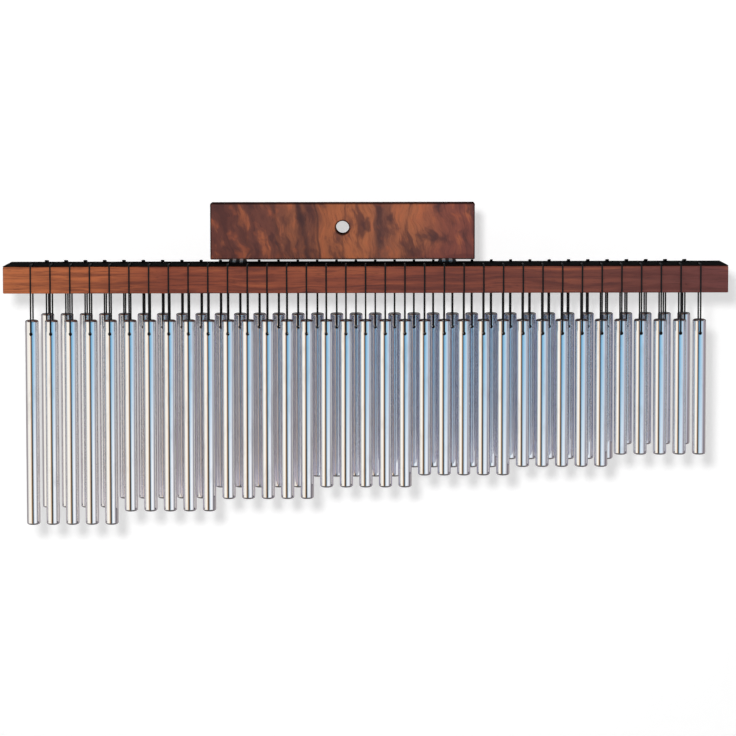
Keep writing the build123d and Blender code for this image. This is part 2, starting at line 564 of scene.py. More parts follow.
@dataclass(frozen=True)
class MantleWood(Wood):
    """Straight-grained hardwood, orange-brown at the long bars and purple-brown at the short ones.

    Attributes:
        bands: Bands along the grain, with their light stain.
        banding: Their dark stain.
        fade: How the dark stain fades in from the left end.
        sway: How far the grain strays.
        ends: Where the mantle's ends are.
    """

    name: str = "mantle_wood_straight"
    tones: Stops = (
        (0.00, screen(182, 104, 63)),
        (0.13, screen(172, 95, 59)),
        (0.22, screen(136, 70, 50)),
        (0.42, screen(138, 72, 51)),
        (0.58, screen(128, 66, 50)),
        (0.78, screen(122, 66, 52)),
        (0.90, screen(112, 62, 54)),
        (1.00, screen(106, 58, 55)),
    )
    drift: Layer = Layer((16, 40, 40), 3.0)
    fibre: Layer = Layer(
        (34, 900, 900), 3.0, 0.6, stains=(Stain((0.46, 0.70, 0.0, 0.5), screen(76, 42, 38)),)
    )
    pores: Layer = Layer(
        (150, 2600, 2600), 2.0, stains=(Stain((0.63, 0.74, 0.0, 0.55), screen(56, 32, 30)),)
    )
    relief: float = 0.18
    bands: Layer = Layer(
        (11, 260, 260), 4.0, 0.6, 0.4, stains=(Stain((0.30, 0.44, 0.38, 0.0), screen(172, 96, 60)),)
    )
    banding: Stain = Stain((0.44, 0.64, 0.0, 0.75), screen(90, 47, 41))
    fade: Change = (0.02, 0.2, 0.45, 1.0)
    sway: float = 7 * MM
    ends: Span = (-0.24, 0.274)

    def draw(self, g: Graph) -> None:
        """Lay bands and the grain over the tones.

        Args:
            g: The material's nodes.
        """
        place = g.place()
        x, y, z = g.axes(place)
        drift = g.math("SUBTRACT", self.drift.read(g, place), 0.5)
        sway = g.math("MULTIPLY", drift, self.sway)
        flow = g.vector(x, g.math("ADD", y, sway), g.math("ADD", z, sway))
        along = g.share(x, *self.ends)
        bands = self.bands.read(g, flow)
        dark = g.math("MULTIPLY", g.span(bands, *self.banding.change), g.span(along, *self.fade))
        colour = g.mix(dark, g.ramp(along, self.tones), self.banding.colour)
        finish = self.add_grain(g, flow, self.bands.stain(g, bands, colour))
        g.surface(Specular_IOR_Level=0.25, Coat_Weight=0.04, Coat_Roughness=0.25, **finish)


@dataclass(frozen=True)
class Textured(Finish):
    """A surface of one colour, with patches in it and a fine texture.

    Attributes:
        patches: What stains it.
        texture: What its shine and its relief follow.
        gloss: How the roughness follows the texture.
        relief: How much of the relief is used.
        depth: The relief's full size.
        haze: How much rougher the patches are.
        patch_relief: How much the patches count in the relief.
        specular: How much it shines where it isn't metallic.
    """

    colour: Colour
    patches: Layer
    texture: Layer
    gloss: Change
    relief: float
    depth: float
    haze: Change = (0.5, 0.75, 0.0, 0.0)
    patch_relief: float = 0.0
    metallic: float = 0.0
    specular: float = 0.5

    def draw(self, g: Graph) -> None:
        """Stain the colour by the patches and roughen it by the texture.

        Args:
            g: The material's nodes.
        """
        place = g.place()
        patches, texture = (layer.read(g, place) for layer in (self.patches, self.texture))
        height = g.math("ADD", texture, g.math("MULTIPLY", patches, self.patch_relief))
        g.surface(
            Base_Color=self.patches.stain(g, patches, self.colour),
            Metallic=self.metallic,
            Roughness=g.math("ADD", g.span(texture, *self.gloss), g.span(patches, *self.haze)),
            Normal=g.bump(height, self.relief, self.depth),
            Specular_IOR_Level=self.specular,
        )


@dataclass(frozen=True)
class PolishedMetal(Textured):
    """Bright drawn rod, with faint lines along its length and a few dull patches from handling."""

    name: str = "bar_metal_polished"
    colour: Colour = (0.86, 0.86, 0.87, 1.0)
    patches: Layer = Layer(
        (160, 160, 45), 3.0, 0.55, stains=(Stain((0.52, 0.75, 0.0, 0.7), (0.74, 0.73, 0.74, 1.0)),)
    )
    texture: Layer = Layer((2600, 2600, 9), 3.0, 0.6)
    gloss: Change = (0.3, 0.7, 0.06, 0.11)
    relief: float = 0.02
    depth: float = 0.01 * MM
    haze: Change = (0.5, 0.75, 0.0, 0.05)
    metallic: float = 1.0


@dataclass(frozen=True)
class HoleShadeMetal(Textured):
    """The wall of a drilled hole, painted near-black with darker blotches as the shade inside the hole, with
    tool marks in its relief.
    """

    name: str = "bar_hole_painted_shade"
    # Painted shade: near-black, so that the hole reads as dark
    colour: Colour = screen(34, 32, 33)
    patches: Layer = Layer(
        (900, 5200, 900), 3.0, stains=(Stain((0.35, 0.65, 0.0, 1.0), screen(10, 9, 10)),)
    )
    texture: Layer = Layer((900, 5200, 900), 3.0)
    gloss: Change = (0.3, 0.7, 0.55, 0.8)
    relief: float = 0.2
    depth: float = 0.05 * MM
    metallic: float = 0.15
    specular: float = 0.1


@dataclass(frozen=True)
class BlackFelt(Textured):
    """Thin black felt, fuzzy and matte."""

    name: str = "strip_black_felt"
    colour: Colour = screen(6, 6, 7)
    patches: Layer = Layer(
        (1400, 2600, 2600), 5.0, 0.65, 0.8, stains=(Stain((0.5, 0.75, 0.0, 0.7), screen(22, 22, 24)),)
    )
    texture: Layer = Layer((320, 320, 320), 3.0)
    gloss: Change = (0.3, 0.7, 0.82, 0.96)
    relief: float = 0.5
    depth: float = 0.15 * MM
    patch_relief: float = 1.0
    specular: float = 0.08


@dataclass(frozen=True)
class BrightSteel(Textured):
    """Plain steel of the hinge pins and screws, brushed and a little dull."""

    name: str = "pin_steel_brushed"
    colour: Colour = (0.60, 0.59, 0.57, 1.0)
    patches: Layer = Layer(
        (700, 700, 700), 4.0, 0.6, stains=(Stain((0.45, 0.75, 0.0, 1.0), (0.38, 0.36, 0.34, 1.0)),)
    )
    texture: Layer = Layer((260, 5200, 5200), 2.0)
    gloss: Change = (0.3, 0.7, 0.22, 0.40)
    relief: float = 0.1
    depth: float = 0.03 * MM
    metallic: float = 1.0


@dataclass(frozen=True)
class BraidedCord(Finish):
    """Black braided cord: crossing strands with a dull sheen and painted shade between them.

    Attributes:
        uv_map: The UV map that runs along and around the cord.
        strands: Strands that wind each way.
        strand: Colour of a strand.
        crease_shade: Painted shade in the creases between strands.
        fuzz: Loose fibres.
    """

    name: str = "cord_black_braided"
    uv_map: str = "braid"
    strands: int = 4
    strand: Colour = screen(30, 29, 31)
    crease_shade: Colour = screen(8, 8, 9)
    fuzz: Layer = Layer(
        (5200, 5200, 5200), 2.0, stains=(Stain((0.45, 0.75, 0.0, 0.3), screen(46, 43, 46)),)
    )

    def draw(self, g: Graph) -> None:
        """Cross two waves that wind round the cord.

        Args:
            g: The material's nodes.
        """
        along, around, _ = g.axes(g.add("UVMap", uv_map=self.uv_map).outputs["UV"])
        turn = g.math("MULTIPLY", around, self.strands * math.tau)
        run = g.math("MULTIPLY", along, math.tau)
        waves = [g.math("SINE", g.math(way, turn, run)) for way in ("ADD", "SUBTRACT")]
        weave = g.math("ADD", g.math("MULTIPLY", g.math("MULTIPLY", *waves), 0.5), 0.5)
        fuzz = self.fuzz.read(g, g.place())
        # Painted shade: the creases between strands are darker than the strands
        colour = g.mix(g.span(weave, 0.2, 0.8), self.crease_shade, self.strand)
        g.surface(
            Base_Color=self.fuzz.stain(g, fuzz, colour),
            Roughness=g.span(fuzz, 0.3, 0.7, 0.62, 0.82),
            Normal=g.bump(weave, 0.5, 0.12 * MM),
            Specular_IOR_Level=0.25,
            Sheen_Weight=0.05,
            Sheen_Roughness=0.5,
        )


@dataclass(frozen=True)
class BlackEnamel(Finish):
    """Satin black enamel on a small steel hinge, with bright bare steel painted on one leaf's knuckles as
    their highlights.

    Attributes:
        pin: Where the hinge's axis lies, from front to back and up.
        cloud: Where the enamel is thin.
        specks: Dust in the enamel.
        highlight_reach: From which distance outside the knuckles to which the painted highlight of bare steel
            ends.
        uneven: How uneven that is.
    """

    pin: tuple[float, float]
    barrel: float
    knuckle_highlights: bool
    colour: Colour = screen(18, 18, 20)
    cloud: Layer = Layer(
        (420, 420, 420), 4.0, 0.6, stains=(Stain((0.55, 0.75, 0.0, 0.6), screen(48, 43, 40)),)
    )
    specks: Layer = Layer((2600, 2600, 2600), 3.0)
    bare: Colour = (0.62, 0.61, 0.60, 1.0)
    highlight_reach: Span = (0.12 * MM, 0.42 * MM)
    uneven: float = 0.3 * MM

    def draw(self, g: Graph) -> None:
        """Mix enamel with bare steel, which paints highlights on the knuckles.

        Args:
            g: The material's nodes.
        """
        place = g.place()
        cloud, specks = (layer.read(g, place) for layer in (self.cloud, self.specks))
        # Painted highlight: bright bare steel on the board leaf's knuckles
        knuckle_highlight = self.find_painted_highlight(g, place, cloud) if self.knuckle_highlights else 0.0
        g.surface(
            Base_Color=g.mix(knuckle_highlight, self.cloud.stain(g, cloud, self.colour), self.bare),
            Metallic=knuckle_highlight,
            Roughness=g.span(cloud, 0.3, 0.7, 0.30, 0.46),
            Normal=g.bump(specks, 0.12, 0.05 * MM),
            Coat_Weight=0.2,
            Coat_Roughness=0.25,
        )

    def find_painted_highlight(self, g: Graph, place: Socket, cloud: Socket) -> Socket:
        """Find where bare steel is painted on the knuckles as their highlights.

        Args:
            g: The material's nodes.
            place: Object coordinates.
            cloud: Uneven noise.

        Returns:
            1 on bare steel and 0 on enamel.
        """
        _, y, z = g.axes(place)
        away = g.distance(*(g.math("SUBTRACT", part, middle) for part, middle in zip((y, z), self.pin)))
        uneven = g.math("ADD", away, g.math("MULTIPLY", cloud, self.uneven))
        start, end = (self.barrel + past for past in self.highlight_reach)
        return g.span(uneven, start, end, 1.0, 0.0)


@dataclass(frozen=True)
class Paper(Finish):
    """White paper, seen from its front only, which polished surfaces see dimmer than the camera does.

    Attributes:
        white: How much light it gives back.
        glow: What it gives off to the camera, so that it shows white.
        dim: How much light it gives back to polished surfaces.
    """

    white: float = 0.6
    glow: float = 0.515
    dim: float = 0.08

    def mirrored(self, g: Graph) -> Socket:
        """Return what it gives off to polished surfaces."""
        raise NotImplementedError

    def draw(self, g: Graph) -> None:
        """Add what the paper gives off to what it gives back.

        Args:
            g: The material's nodes.
        """
        rays = g.add("LightPath").outputs
        bent = g.math("MAXIMUM", rays["Is Glossy Ray"], rays["Is Transmission Ray"])
        back = g.add("BsdfDiffuse", {"Color": g.mix(bent, grey(self.white), grey(self.dim))})
        colour = g.mix(bent, grey(self.glow), self.mirrored(g))
        seen = g.math("MAXIMUM", rays["Is Camera Ray"], bent)
        off = g.add("Emission", {"Color": colour, "Strength": seen})
        both = g.add("AddShader", {0: back.outputs[0], 1: off.outputs[0]})
        behind = g.add("NewGeometry").outputs["Backfacing"]
        clear = g.add("BsdfTransparent")
        side = g.add("MixShader", {0: behind, 1: both.outputs[0], 2: clear.outputs[0]})
        g.close(side.outputs[0])


@dataclass(frozen=True)
class WallPaper(Paper):
    """The wall's paper, which bars mirror straight at their edges and by way of other bars elsewhere.

    Attributes:
        at_edges: What it gives off to a bar's edge, which mirrors it straight.
        above: The same just over the bars, which their tops mirror.
        above_change: From which height to which it changes to that.
        high: The same higher up.
        high_change: From which height to which it changes to that.
        in_metal: What it gives off to bars that mirror other bars, along the object.
        ends: From where to where that changes.
    """

    name: str = "wall_paper"
    at_edges: Colour = (0.32, 0.29, 0.30, 1.0)
    above: Colour = (0.03, 0.03, 0.03, 1.0)
    above_change: Span = (-0.075, -0.045)
    high: Colour = (0.42, 0.42, 0.43, 1.0)
    high_change: Span = (0.03, 0.10)
    in_metal: Stops = (
        (0.0, (0.75, 0.70, 0.70, 1.0)),
        (0.38, (0.66, 0.52, 0.56, 1.0)),
        (0.54, (0.12, 0.18, 0.48, 1.0)),
        (0.74, (0.13, 0.20, 0.46, 1.0)),
        (1.0, (0.66, 0.64, 0.66, 1.0)),
    )
    ends: Span = (-0.24, 0.27)

    def mirrored(self, g: Graph) -> Socket:
        """Tell a straight mirroring from one by way of other bars.

        Args:
            g: The material's nodes.

        Returns:
            What the wall gives off to polished surfaces.
        """
        along, _, height = g.axes(g.place())
        once = g.mix(g.span(height, *self.above_change), self.at_edges, self.above)
        once = g.mix(g.span(height, *self.high_change), once, self.high)
        twice = g.math("GREATER_THAN", g.add("LightPath").outputs["Glossy Depth"], 1.5)
        return g.mix(twice, once, g.ramp(g.share(along, *self.ends), self.in_metal))


@dataclass(frozen=True)
class FloorPaper(Paper):
    """The floor's paper.

    Attributes:
        close: What it gives off to polished surfaces, close under the object.
        far: The same further out.
        change: From where to where that changes, from front to back.
    """

    name: str = "floor_paper"
    close: Colour = (0.05, 0.045, 0.045, 1.0)
    far: Colour = (0.55, 0.55, 0.56, 1.0)
    change: Span = (-1.15, -0.85)

    def mirrored(self, g: Graph) -> Socket:
        """Return what the floor gives off to polished surfaces."""
        return g.mix(g.span(g.axes(g.place())[1], *self.change), self.far, self.close)


@dataclass(frozen=True)
class LightCards(Finish):
    """Cards that bars mirror: cream to the left, a dark gap at the camera, blue to the right, white below.

    Attributes:
        upper: The cards' colours by bearing in degrees, from the camera's side.
        lower: The colours of their lower half.
        change: From which height to which they change.
        strength: How bright they are.
    """

    name: str = "light_cards"
    upper: Stops = (
        (-180, screen(202, 202, 205)),
        (-110, screen(140, 138, 142)),
        (-90, screen(178, 176, 178)),
        (-78, screen(244, 240, 233)),
        (-38, screen(252, 246, 235)),
        (-27, screen(214, 178, 142)),
        (-18, screen(96, 78, 68)),
        (-8, screen(70, 70, 74)),
        (-1, screen(96, 158, 198)),
        (22, screen(152, 198, 226)),
        (52, screen(188, 212, 230)),
        (66, screen(190, 186, 196)),
        (84, screen(140, 131, 142)),
        (110, screen(150, 145, 152)),
        (180, screen(202, 202, 205)),
    )
    lower: Stops = (
        (-180, screen(202, 202, 205)),
        (-110, screen(140, 138, 142)),
        (-90, screen(178, 176, 178)),
        (-78, screen(246, 242, 235)),
        (-42, screen(253, 247, 235)),
        (-30, screen(200, 164, 124)),
        (-20, screen(66, 54, 46)),
        (-4, screen(46, 46, 50)),
        (4, screen(196, 212, 224)),
        (24, screen(246, 249, 252)),
        (50, screen(236, 236, 240)),
        (66, screen(150, 145, 151)),
        (84, screen(96, 92, 96)),
        (110, screen(130, 126, 131)),
        (180, screen(202, 202, 205)),
    )
    change: Span = (-0.43, -0.22)
    strength: float = 1.15

    def draw(self, g: Graph) -> None:
        """Colour the cards by their bearing and height.

        Args:
            g: The material's nodes.
        """
        x, y, z = g.axes(g.place())
        bearing = g.math("ARCTAN2", x, g.math("MULTIPLY", y, -1.0))
        turn = g.math("ADD", g.math("DIVIDE", bearing, math.tau), 0.5)
        lower, upper = (
            g.ramp(turn, tuple((0.5 + degrees / 360, colour) for degrees, colour in cards))
            for cards in (self.lower, self.upper)
        )
        colour = g.mix(g.span(z, *self.change), lower, upper)
        g.close(g.add("Emission", {"Color": colour, "Strength": self.strength}).outputs[0])


def make_active(piece: bpy.types.Object) -> None:
    """Select one object alone and make it the active one.

    Args:
        piece: The object.
    """
    bpy.ops.object.select_all(action="DESELECT")
    piece.select_set(True)
    bpy.context.view_layer.objects.active = piece


def add_shape(kind: str, **options: object) -> bpy.types.Object:
    """Add a primitive, selected alone.

    Args:
        kind: The primitive.
        **options: What its operator takes.

    Returns:
        The new object.
    """
    bpy.ops.object.select_all(action="DESELECT")
    getattr(bpy.ops.mesh, f"primitive_{kind}_add")(**options)
    return bpy.context.active_object


def apply_place() -> None:
    """Put the place, turn and size of what is selected into its mesh."""
    bpy.ops.object.transform_apply(location=True, rotation=True, scale=True)


def bevel_edges(piece: bpy.types.Object, width: float, segments: int, wanted: EdgeTest) -> None:
    """Round the edges that pass a test.

    Args:
        piece: The piece.
        width: The size of the round.
        segments: The round's segments.
        wanted: Whether an edge is rounded.
    """
    make_active(piece)
    bpy.ops.object.mode_set(mode="EDIT")
    bpy.ops.mesh.select_mode(type="EDGE")
    bpy.ops.mesh.select_all(action="DESELECT")
    mesh = bmesh.from_edit_mesh(piece.data)
    for edge in mesh.edges:
        edge.select_set(wanted(edge))
    bmesh.update_edit_mesh(piece.data)
    bpy.ops.mesh.bevel(offset=width, offset_type="OFFSET", segments=segments, profile=0.5, affect="EDGES")
    bpy.ops.object.mode_set(mode="OBJECT")


def add_block(low: Vector, high: Vector, edge: float, segments: int) -> bpy.types.Object:
    """Add a block with rounded edges between two corners.

    Args:
        low: Its lowest corner.
        high: Its highest corner.
        edge: Radius of its edges.
        segments: Segments of each edge.

    Returns:
        The block.
    """
    block = add_shape("cube", size=1.0, location=(low + high) / 2)
    block.scale = high - low
    apply_place()
    bevel_edges(block, edge, segments, lambda chosen: True)
    return block


def slice_across(piece: bpy.types.Object, place: Vector, normal: Vector) -> None:
    """Cut a ring of edges into a piece.

    Args:
        piece: The piece.
        place: A place in the ring's plane.
        normal: The plane's direction.
    """
    make_active(piece)
    bpy.ops.object.mode_set(mode="EDIT")
    bpy.ops.mesh.select_all(action="SELECT")
    bpy.ops.mesh.bisect(plane_co=place, plane_no=normal)
    bpy.ops.object.mode_set(mode="OBJECT")


def cut_away(piece: bpy.types.Object, cutter: bpy.types.Object) -> None:
    """Cut a piece with another, which is then removed, and shade it smoothly.

    Args:
        piece: The piece.
        cutter: What it is cut with.
    """
    make_active(piece)
    boolean = piece.modifiers.new("cut", "BOOLEAN")
    boolean.operation = "DIFFERENCE"
    boolean.solver = "EXACT"
    boolean.object = cutter
    bpy.ops.object.modifier_apply(modifier=boolean.name)
    bpy.data.objects.remove(cutter)
    bpy.ops.object.shade_smooth_by_angle(angle=math.radians(SMOOTHEST_CORNER))
    weighted = piece.modifiers.new("weighted", "WEIGHTED_NORMAL")
    weighted.keep_sharp = True
    bpy.ops.object.modifier_apply(modifier=weighted.name)


def add_drill(radius: float, depth: float, flare: float, sides: int) -> bpy.types.Object:
    """Add a cutter along Y that leaves a hole with broken edges.

    Args:
        radius: The hole's radius.
        depth: How thick the drilled piece is.
        flare: The size of the broken edge at both mouths.
        sides: The hole's sides.

    Returns:
        The cutter, centred on the origin.
    """
    spare = depth / 2
    drill = add_shape(
        "cylinder", vertices=sides, radius=radius, depth=depth + 2 * spare, rotation=(math.pi / 2, 0, 0)
    )
    apply_place()
    widening = (radius + flare + spare) / radius
    for side in (-1, 1):
        slice_across(drill, Vector((0, side * (depth / 2 - flare), 0)), Vector((0, 1, 0)))
        for vertex in drill.data.vertices:
            if vertex.co.y * side > depth / 2:
                vertex.co.x *= widening
                vertex.co.z *= widening
    return drill


def copy_piece(model: bpy.types.Object, move: Vector) -> bpy.types.Object:
    """Copy a model with its own mesh and move the mesh.

    Args:
        model: The object to copy.
        move: How far the copy's mesh is moved.

    Returns:
        The copy, with its object at the origin.
    """
    copied = model.copy()
    copied.data = model.data.copy()
    copied.data.transform(Matrix.Translation(move))
    bpy.context.scene.collection.objects.link(copied)
    return copied


def dress(piece: bpy.types.Object, name: str, slot: Slot, *materials: bpy.types.Material) -> None:
    """Name a new piece and give it its finish.

    Args:
        piece: The piece.
        name: Its name.
        slot: The record's slot for it; not used.
        *materials: Its materials.
    """
    piece.name = name
    piece.data.name = name
    for material in materials:
        piece.data.materials.append(material)


def settle(piece: bpy.types.Object, body: str, node: str) -> None:
    """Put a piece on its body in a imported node's place.

    Args:
        piece: The piece.
        body: The body that it rides on.
        node: The node that it replaces.
    """
    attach(piece, body)
    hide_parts(node)
    LOG.info("%s rides on %s and replaces %s", piece.name, body, node)


@dataclass(frozen=True)
class BarPlace:
    """Where one bar hangs.

    Attributes:
        row: Its row.
        number: Its number in the row, from 1 at the long end.
        node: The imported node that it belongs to, whose body has the same name.
        top: The middle of its upper end.
        length: Its length.
        radius: Its radius.
    """

    row: Row
    number: int
    node: str
    top: Vector
    length: float
    radius: float


@dataclass
class Layout:
    """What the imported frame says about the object's places.

    Attributes:
        bars: Every bar, the front row first.
    """

    frame: dict
    bars: list[BarPlace] = field(default_factory=list)

    def __post_init__(self) -> None:
        """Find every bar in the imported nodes."""
        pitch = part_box("front_bar_02")[0].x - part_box("front_bar_01")[0].x
        for row in Row:
            for node in sorted(self.frame["nodes"]):
                if node.startswith(f"{row.value}_bar"):
                    self.add_bars(row, node, pitch)

    def row(self, row: Row) -> list[BarPlace]:
        """Return the bars of one row."""
        return [bar for bar in self.bars if bar.row == row]

    def add_bars(self, row: Row, node: str, pitch: float) -> None:
        """Add the bars of one node.

        Args:
            row: The node's row.
            node: The node's name.
            pitch: The distance between neighbours.
        """
        low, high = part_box(node)
        radius = (high.y - low.y) / 2
        count = round((high.x - low.x - 2 * radius) / pitch) + 1
        for index in range(count):
            top = Vector((low.x + radius + index * pitch, (low.y + high.y) / 2, high.z))
            number = len(self.row(row)) + 1
            self.bars.append(BarPlace(row, number, node, top, high.z - low.z, radius))

    def cord_line(self, row: Row) -> tuple[Vector, Vector, float]:
        """Find the middle line of a row's cords.

        Args:
            row: The row.

        Returns:
            The line's lowest and highest corners, and the cord's radius.
        """
        low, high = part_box(f"{row.value}_cords")
        radius = self.row(row)[0].top.x - low.x
        inset = Vector((0, radius, radius))
        return low + inset, high - inset, radius


@dataclass
class CordLoops:
    """The loops of braided cord that hang the bars from the mantle.

    Attributes:
        step: Length of cord between two rings of points.
        corner: How near to an edge the cord starts to turn round it.
        ridge: How far the braid's strands stand out, as a share of the radius.
        bend: Where a cord bends, above and below the mantle's underside, in cord radii.
    """

    layout: Layout
    finish: BraidedCord = BraidedCord()
    sides: int = 8
    step: float = 0.7 * MM
    corner: float = 2.3 * MM
    ridge: float = 0.06
    bend: Span = (1, 4)

    def build(self) -> None:
        """Model one loop for each row and hang a copy on every bar."""
        material = self.finish.make()
        for row in Row:
            low, high, radius = self.layout.cord_line(row)
            model = self.make_loop(low, high, radius)
            for bar in self.layout.row(row):
                loop = copy_piece(model, Vector((bar.top.x, 0, 0)))
                dress(loop, f"{row.value}_cord_{bar.number:02d}", Slot.CORD_BLACK, material)
                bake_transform(loop)
                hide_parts(f"{row.value}_cords")
                LOG.info("%s bends from the mantle to %s", loop.name, bar.node)
            bpy.data.objects.remove(model)

    def route(self, low: Vector, high: Vector) -> list[Vector]:
        """List the points that lead a loop round its four corners.

        Args:
            low: The loop's lowest corner, nearest the front.
            high: Its highest corner, nearest the back.

        Returns:
            Control points of a closed smooth curve, from the upper front.
        """
        flat = ((low.y, low.z), (high.y, low.z), (high.y, high.z), (low.y, high.z))
        corners = [Vector((0, y, z)) for y, z in flat]
        points = []
        for index, corner in enumerate(corners):
            back = (corners[index - 1] - corner).normalized()
            on = (corners[(index + 1) % len(corners)] - corner).normalized()
            points += [corner + self.corner * back, corner, corner + self.corner * on]
        return points[-1:] + points[:-1]

    def follow(self, points: list[Vector]) -> list[Vector]:
        """Read evenly spaced places from the smooth curve through a route.

        Args:
            points: The curve's control points.

        Returns:
            Places along the closed curve, one step apart.
        """
        curve = bpy.data.curves.new("cord_route", "CURVE")
        curve.dimensions = "3D"
        spline = curve.splines.new("NURBS")
        spline.points.add(len(points) - 1)
        for target, point in zip(spline.points, points):
            target.co = (*point, 1.0)
        spline.order_u = 3
        spline.use_cyclic_u = True
        spline.resolution_u = 16
        carrier = bpy.data.objects.new("cord_route", curve)
        bpy.context.scene.collection.objects.link(carrier)
        line = bpy.data.meshes.new_from_object(carrier)
        smooth = [vertex.co.copy() for vertex in line.vertices]
        bpy.data.objects.remove(carrier)
        bpy.data.meshes.remove(line)
        smooth.append(smooth[0])
        lengths = [(b - a).length for a, b in zip(smooth, smooth[1:])]
        total = sum(lengths)
        # An even number, so that the ridges of the braid meet where the loop closes
        count = 2 * round(total / self.step / 2)
        places = []
        piece = 0
        passed = 0.0
        for index in range(count):
            wanted = total * index / count
            while passed + lengths[piece] < wanted:
                passed += lengths[piece]
                piece += 1
            share = (wanted - passed) / lengths[piece]
            places.append(smooth[piece].lerp(smooth[piece + 1], share))
        return places

    def make_loop(self, low: Vector, high: Vector, radius: float) -> bpy.types.Object:
        """Model one loop in the plane of its bar.

        Args:
            low: The lowest corner of the cord's middle line.
            high: The highest corner of the cord's middle line.
            radius: The cord's radius.

        Returns:
            The loop, with a UV map along and around the cord.
        """
        places = self.follow(self.route(low, high))
        count = len(places)
        side = Vector((1, 0, 0))
        vertices = []
        faces = []
        spots = []
        for ring, place in enumerate(places):
            along = (places[(ring + 1) % count] - places[ring - 1]).normalized()
            out = along.cross(side)
            for corner in range(self.sides):
                angle = math.tau * corner / self.sides
                swell = 1 - self.ridge * ((ring + corner) % 2)
                vertices.append(place + radius * swell * (side * math.cos(angle) + out * math.sin(angle)))
                steps = ((ring, corner), (ring, corner + 1), (ring + 1, corner + 1), (ring + 1, corner))
                faces.append([r % count * self.sides + c % self.sides for r, c in steps])
                spots += [(r / 2, c / self.sides) for r, c in steps]
        mesh = bpy.data.meshes.new("cord_loop")
        mesh.from_pydata(vertices, [], faces)
        layer = mesh.uv_layers.new(name=self.finish.uv_map)
        for loop, spot in zip(layer.data, spots):
            loop.uv = spot
        mesh.polygons.foreach_set("use_smooth", [True] * len(mesh.polygons))
        model = bpy.data.objects.new("cord_loop", mesh)
        bpy.context.scene.collection.objects.link(model)
        make_active(model)
        bpy.ops.object.mode_set(mode="EDIT")
        bpy.ops.mesh.select_all(action="SELECT")
        bpy.ops.mesh.normals_make_consistent(inside=False)
        bpy.ops.object.mode_set(mode="OBJECT")
        return model


@dataclass
class ChimeBars:
    """The two rows of polished bars.

    Attributes:
        rim: Radius of the rounded ends.
        hole_depth: How far the hole is below the upper end.
        hole_flare: Size of the hole's broken edge.
        flare_reach: How far past the hole the broken edge is looked for, in its sizes.
        collar: Height of the band of faces on each side of the hole.
        outward: How closely a face of the bar's outside looks straight out, as a cosine.
    """

    layout: Layout
    finish: PolishedMetal = PolishedMetal()
    hole_shade_finish: HoleShadeMetal = HoleShadeMetal()
    sides: int = 48
    rim: float = 1.4 * MM
    rim_segments: int = 6
    hole_radius: float = 1.05 * MM
    hole_depth: float = 9.6 * MM
    hole_flare: float = 0.3 * MM
    flare_reach: float = 1.5
    hole_sides: int = 24
    collar: float = 2.6 * MM
    outward: float = 0.9

    def build(self) -> None:
        """Model one bar of each length and hang a copy in every place."""
        materials = (self.finish.make(), self.hole_shade_finish.make())
        models: dict[float, bpy.types.Object] = {}
        for bar in self.layout.bars:
            length = round(bar.length, 6)
            if length not in models:
                models[length] = self.make_bar(bar.radius, length)
            piece = copy_piece(models[length], bar.top)
            dress(piece, f"{bar.row.value}_chime_{bar.number:02d}", Slot.BAR_METAL, *materials)
            settle(piece, bar.node, bar.node)
        for model in models.values():
            bpy.data.objects.remove(model)

    def make_bar(self, radius: float, length: float) -> bpy.types.Object:
        """Model one bar with its upper end at the origin.

        Args:
            radius: The bar's radius.
            length: The bar's length.

        Returns:
            The bar.
        """
        middle = -length / 2
        reach = length / 2 - MM
        bar = add_shape(
            "cylinder", vertices=self.sides, radius=radius, depth=length, location=(0, 0, middle)
        )
        apply_place()
        for height in (-self.hole_depth + self.collar, -self.hole_depth - self.collar):
            slice_across(bar, Vector((0, 0, height)), Vector((0, 0, 1)))
        bevel_edges(
            bar,
            self.rim,
            self.rim_segments,
            lambda edge: all(abs(vertex.co.z - middle) > reach for vertex in edge.verts),
        )
        drill = add_drill(self.hole_radius, 2 * radius, self.hole_flare, self.hole_sides)
        drill.data.transform(Matrix.Translation((0, 0, -self.hole_depth)))
        cut_away(bar, drill)
        self.mark_hole(bar)
        return bar

    def mark_hole(self, bar: bpy.types.Object) -> None:
        """Give the hole's wall and broken edges the second material.

        Args:
            bar: The bar, with its upper end at the origin.
        """
        reach = self.hole_radius + self.flare_reach * self.hole_flare
        for face in bar.data.polygons:
            x, y, z = face.center
            near = math.hypot(x, z + self.hole_depth) < reach
            if near and face.normal.dot(Vector((x, y, 0)).normalized()) < self.outward:
                # Painted shade: the hole's wall and broken edges take the near-black second material
                face.material_index = 1


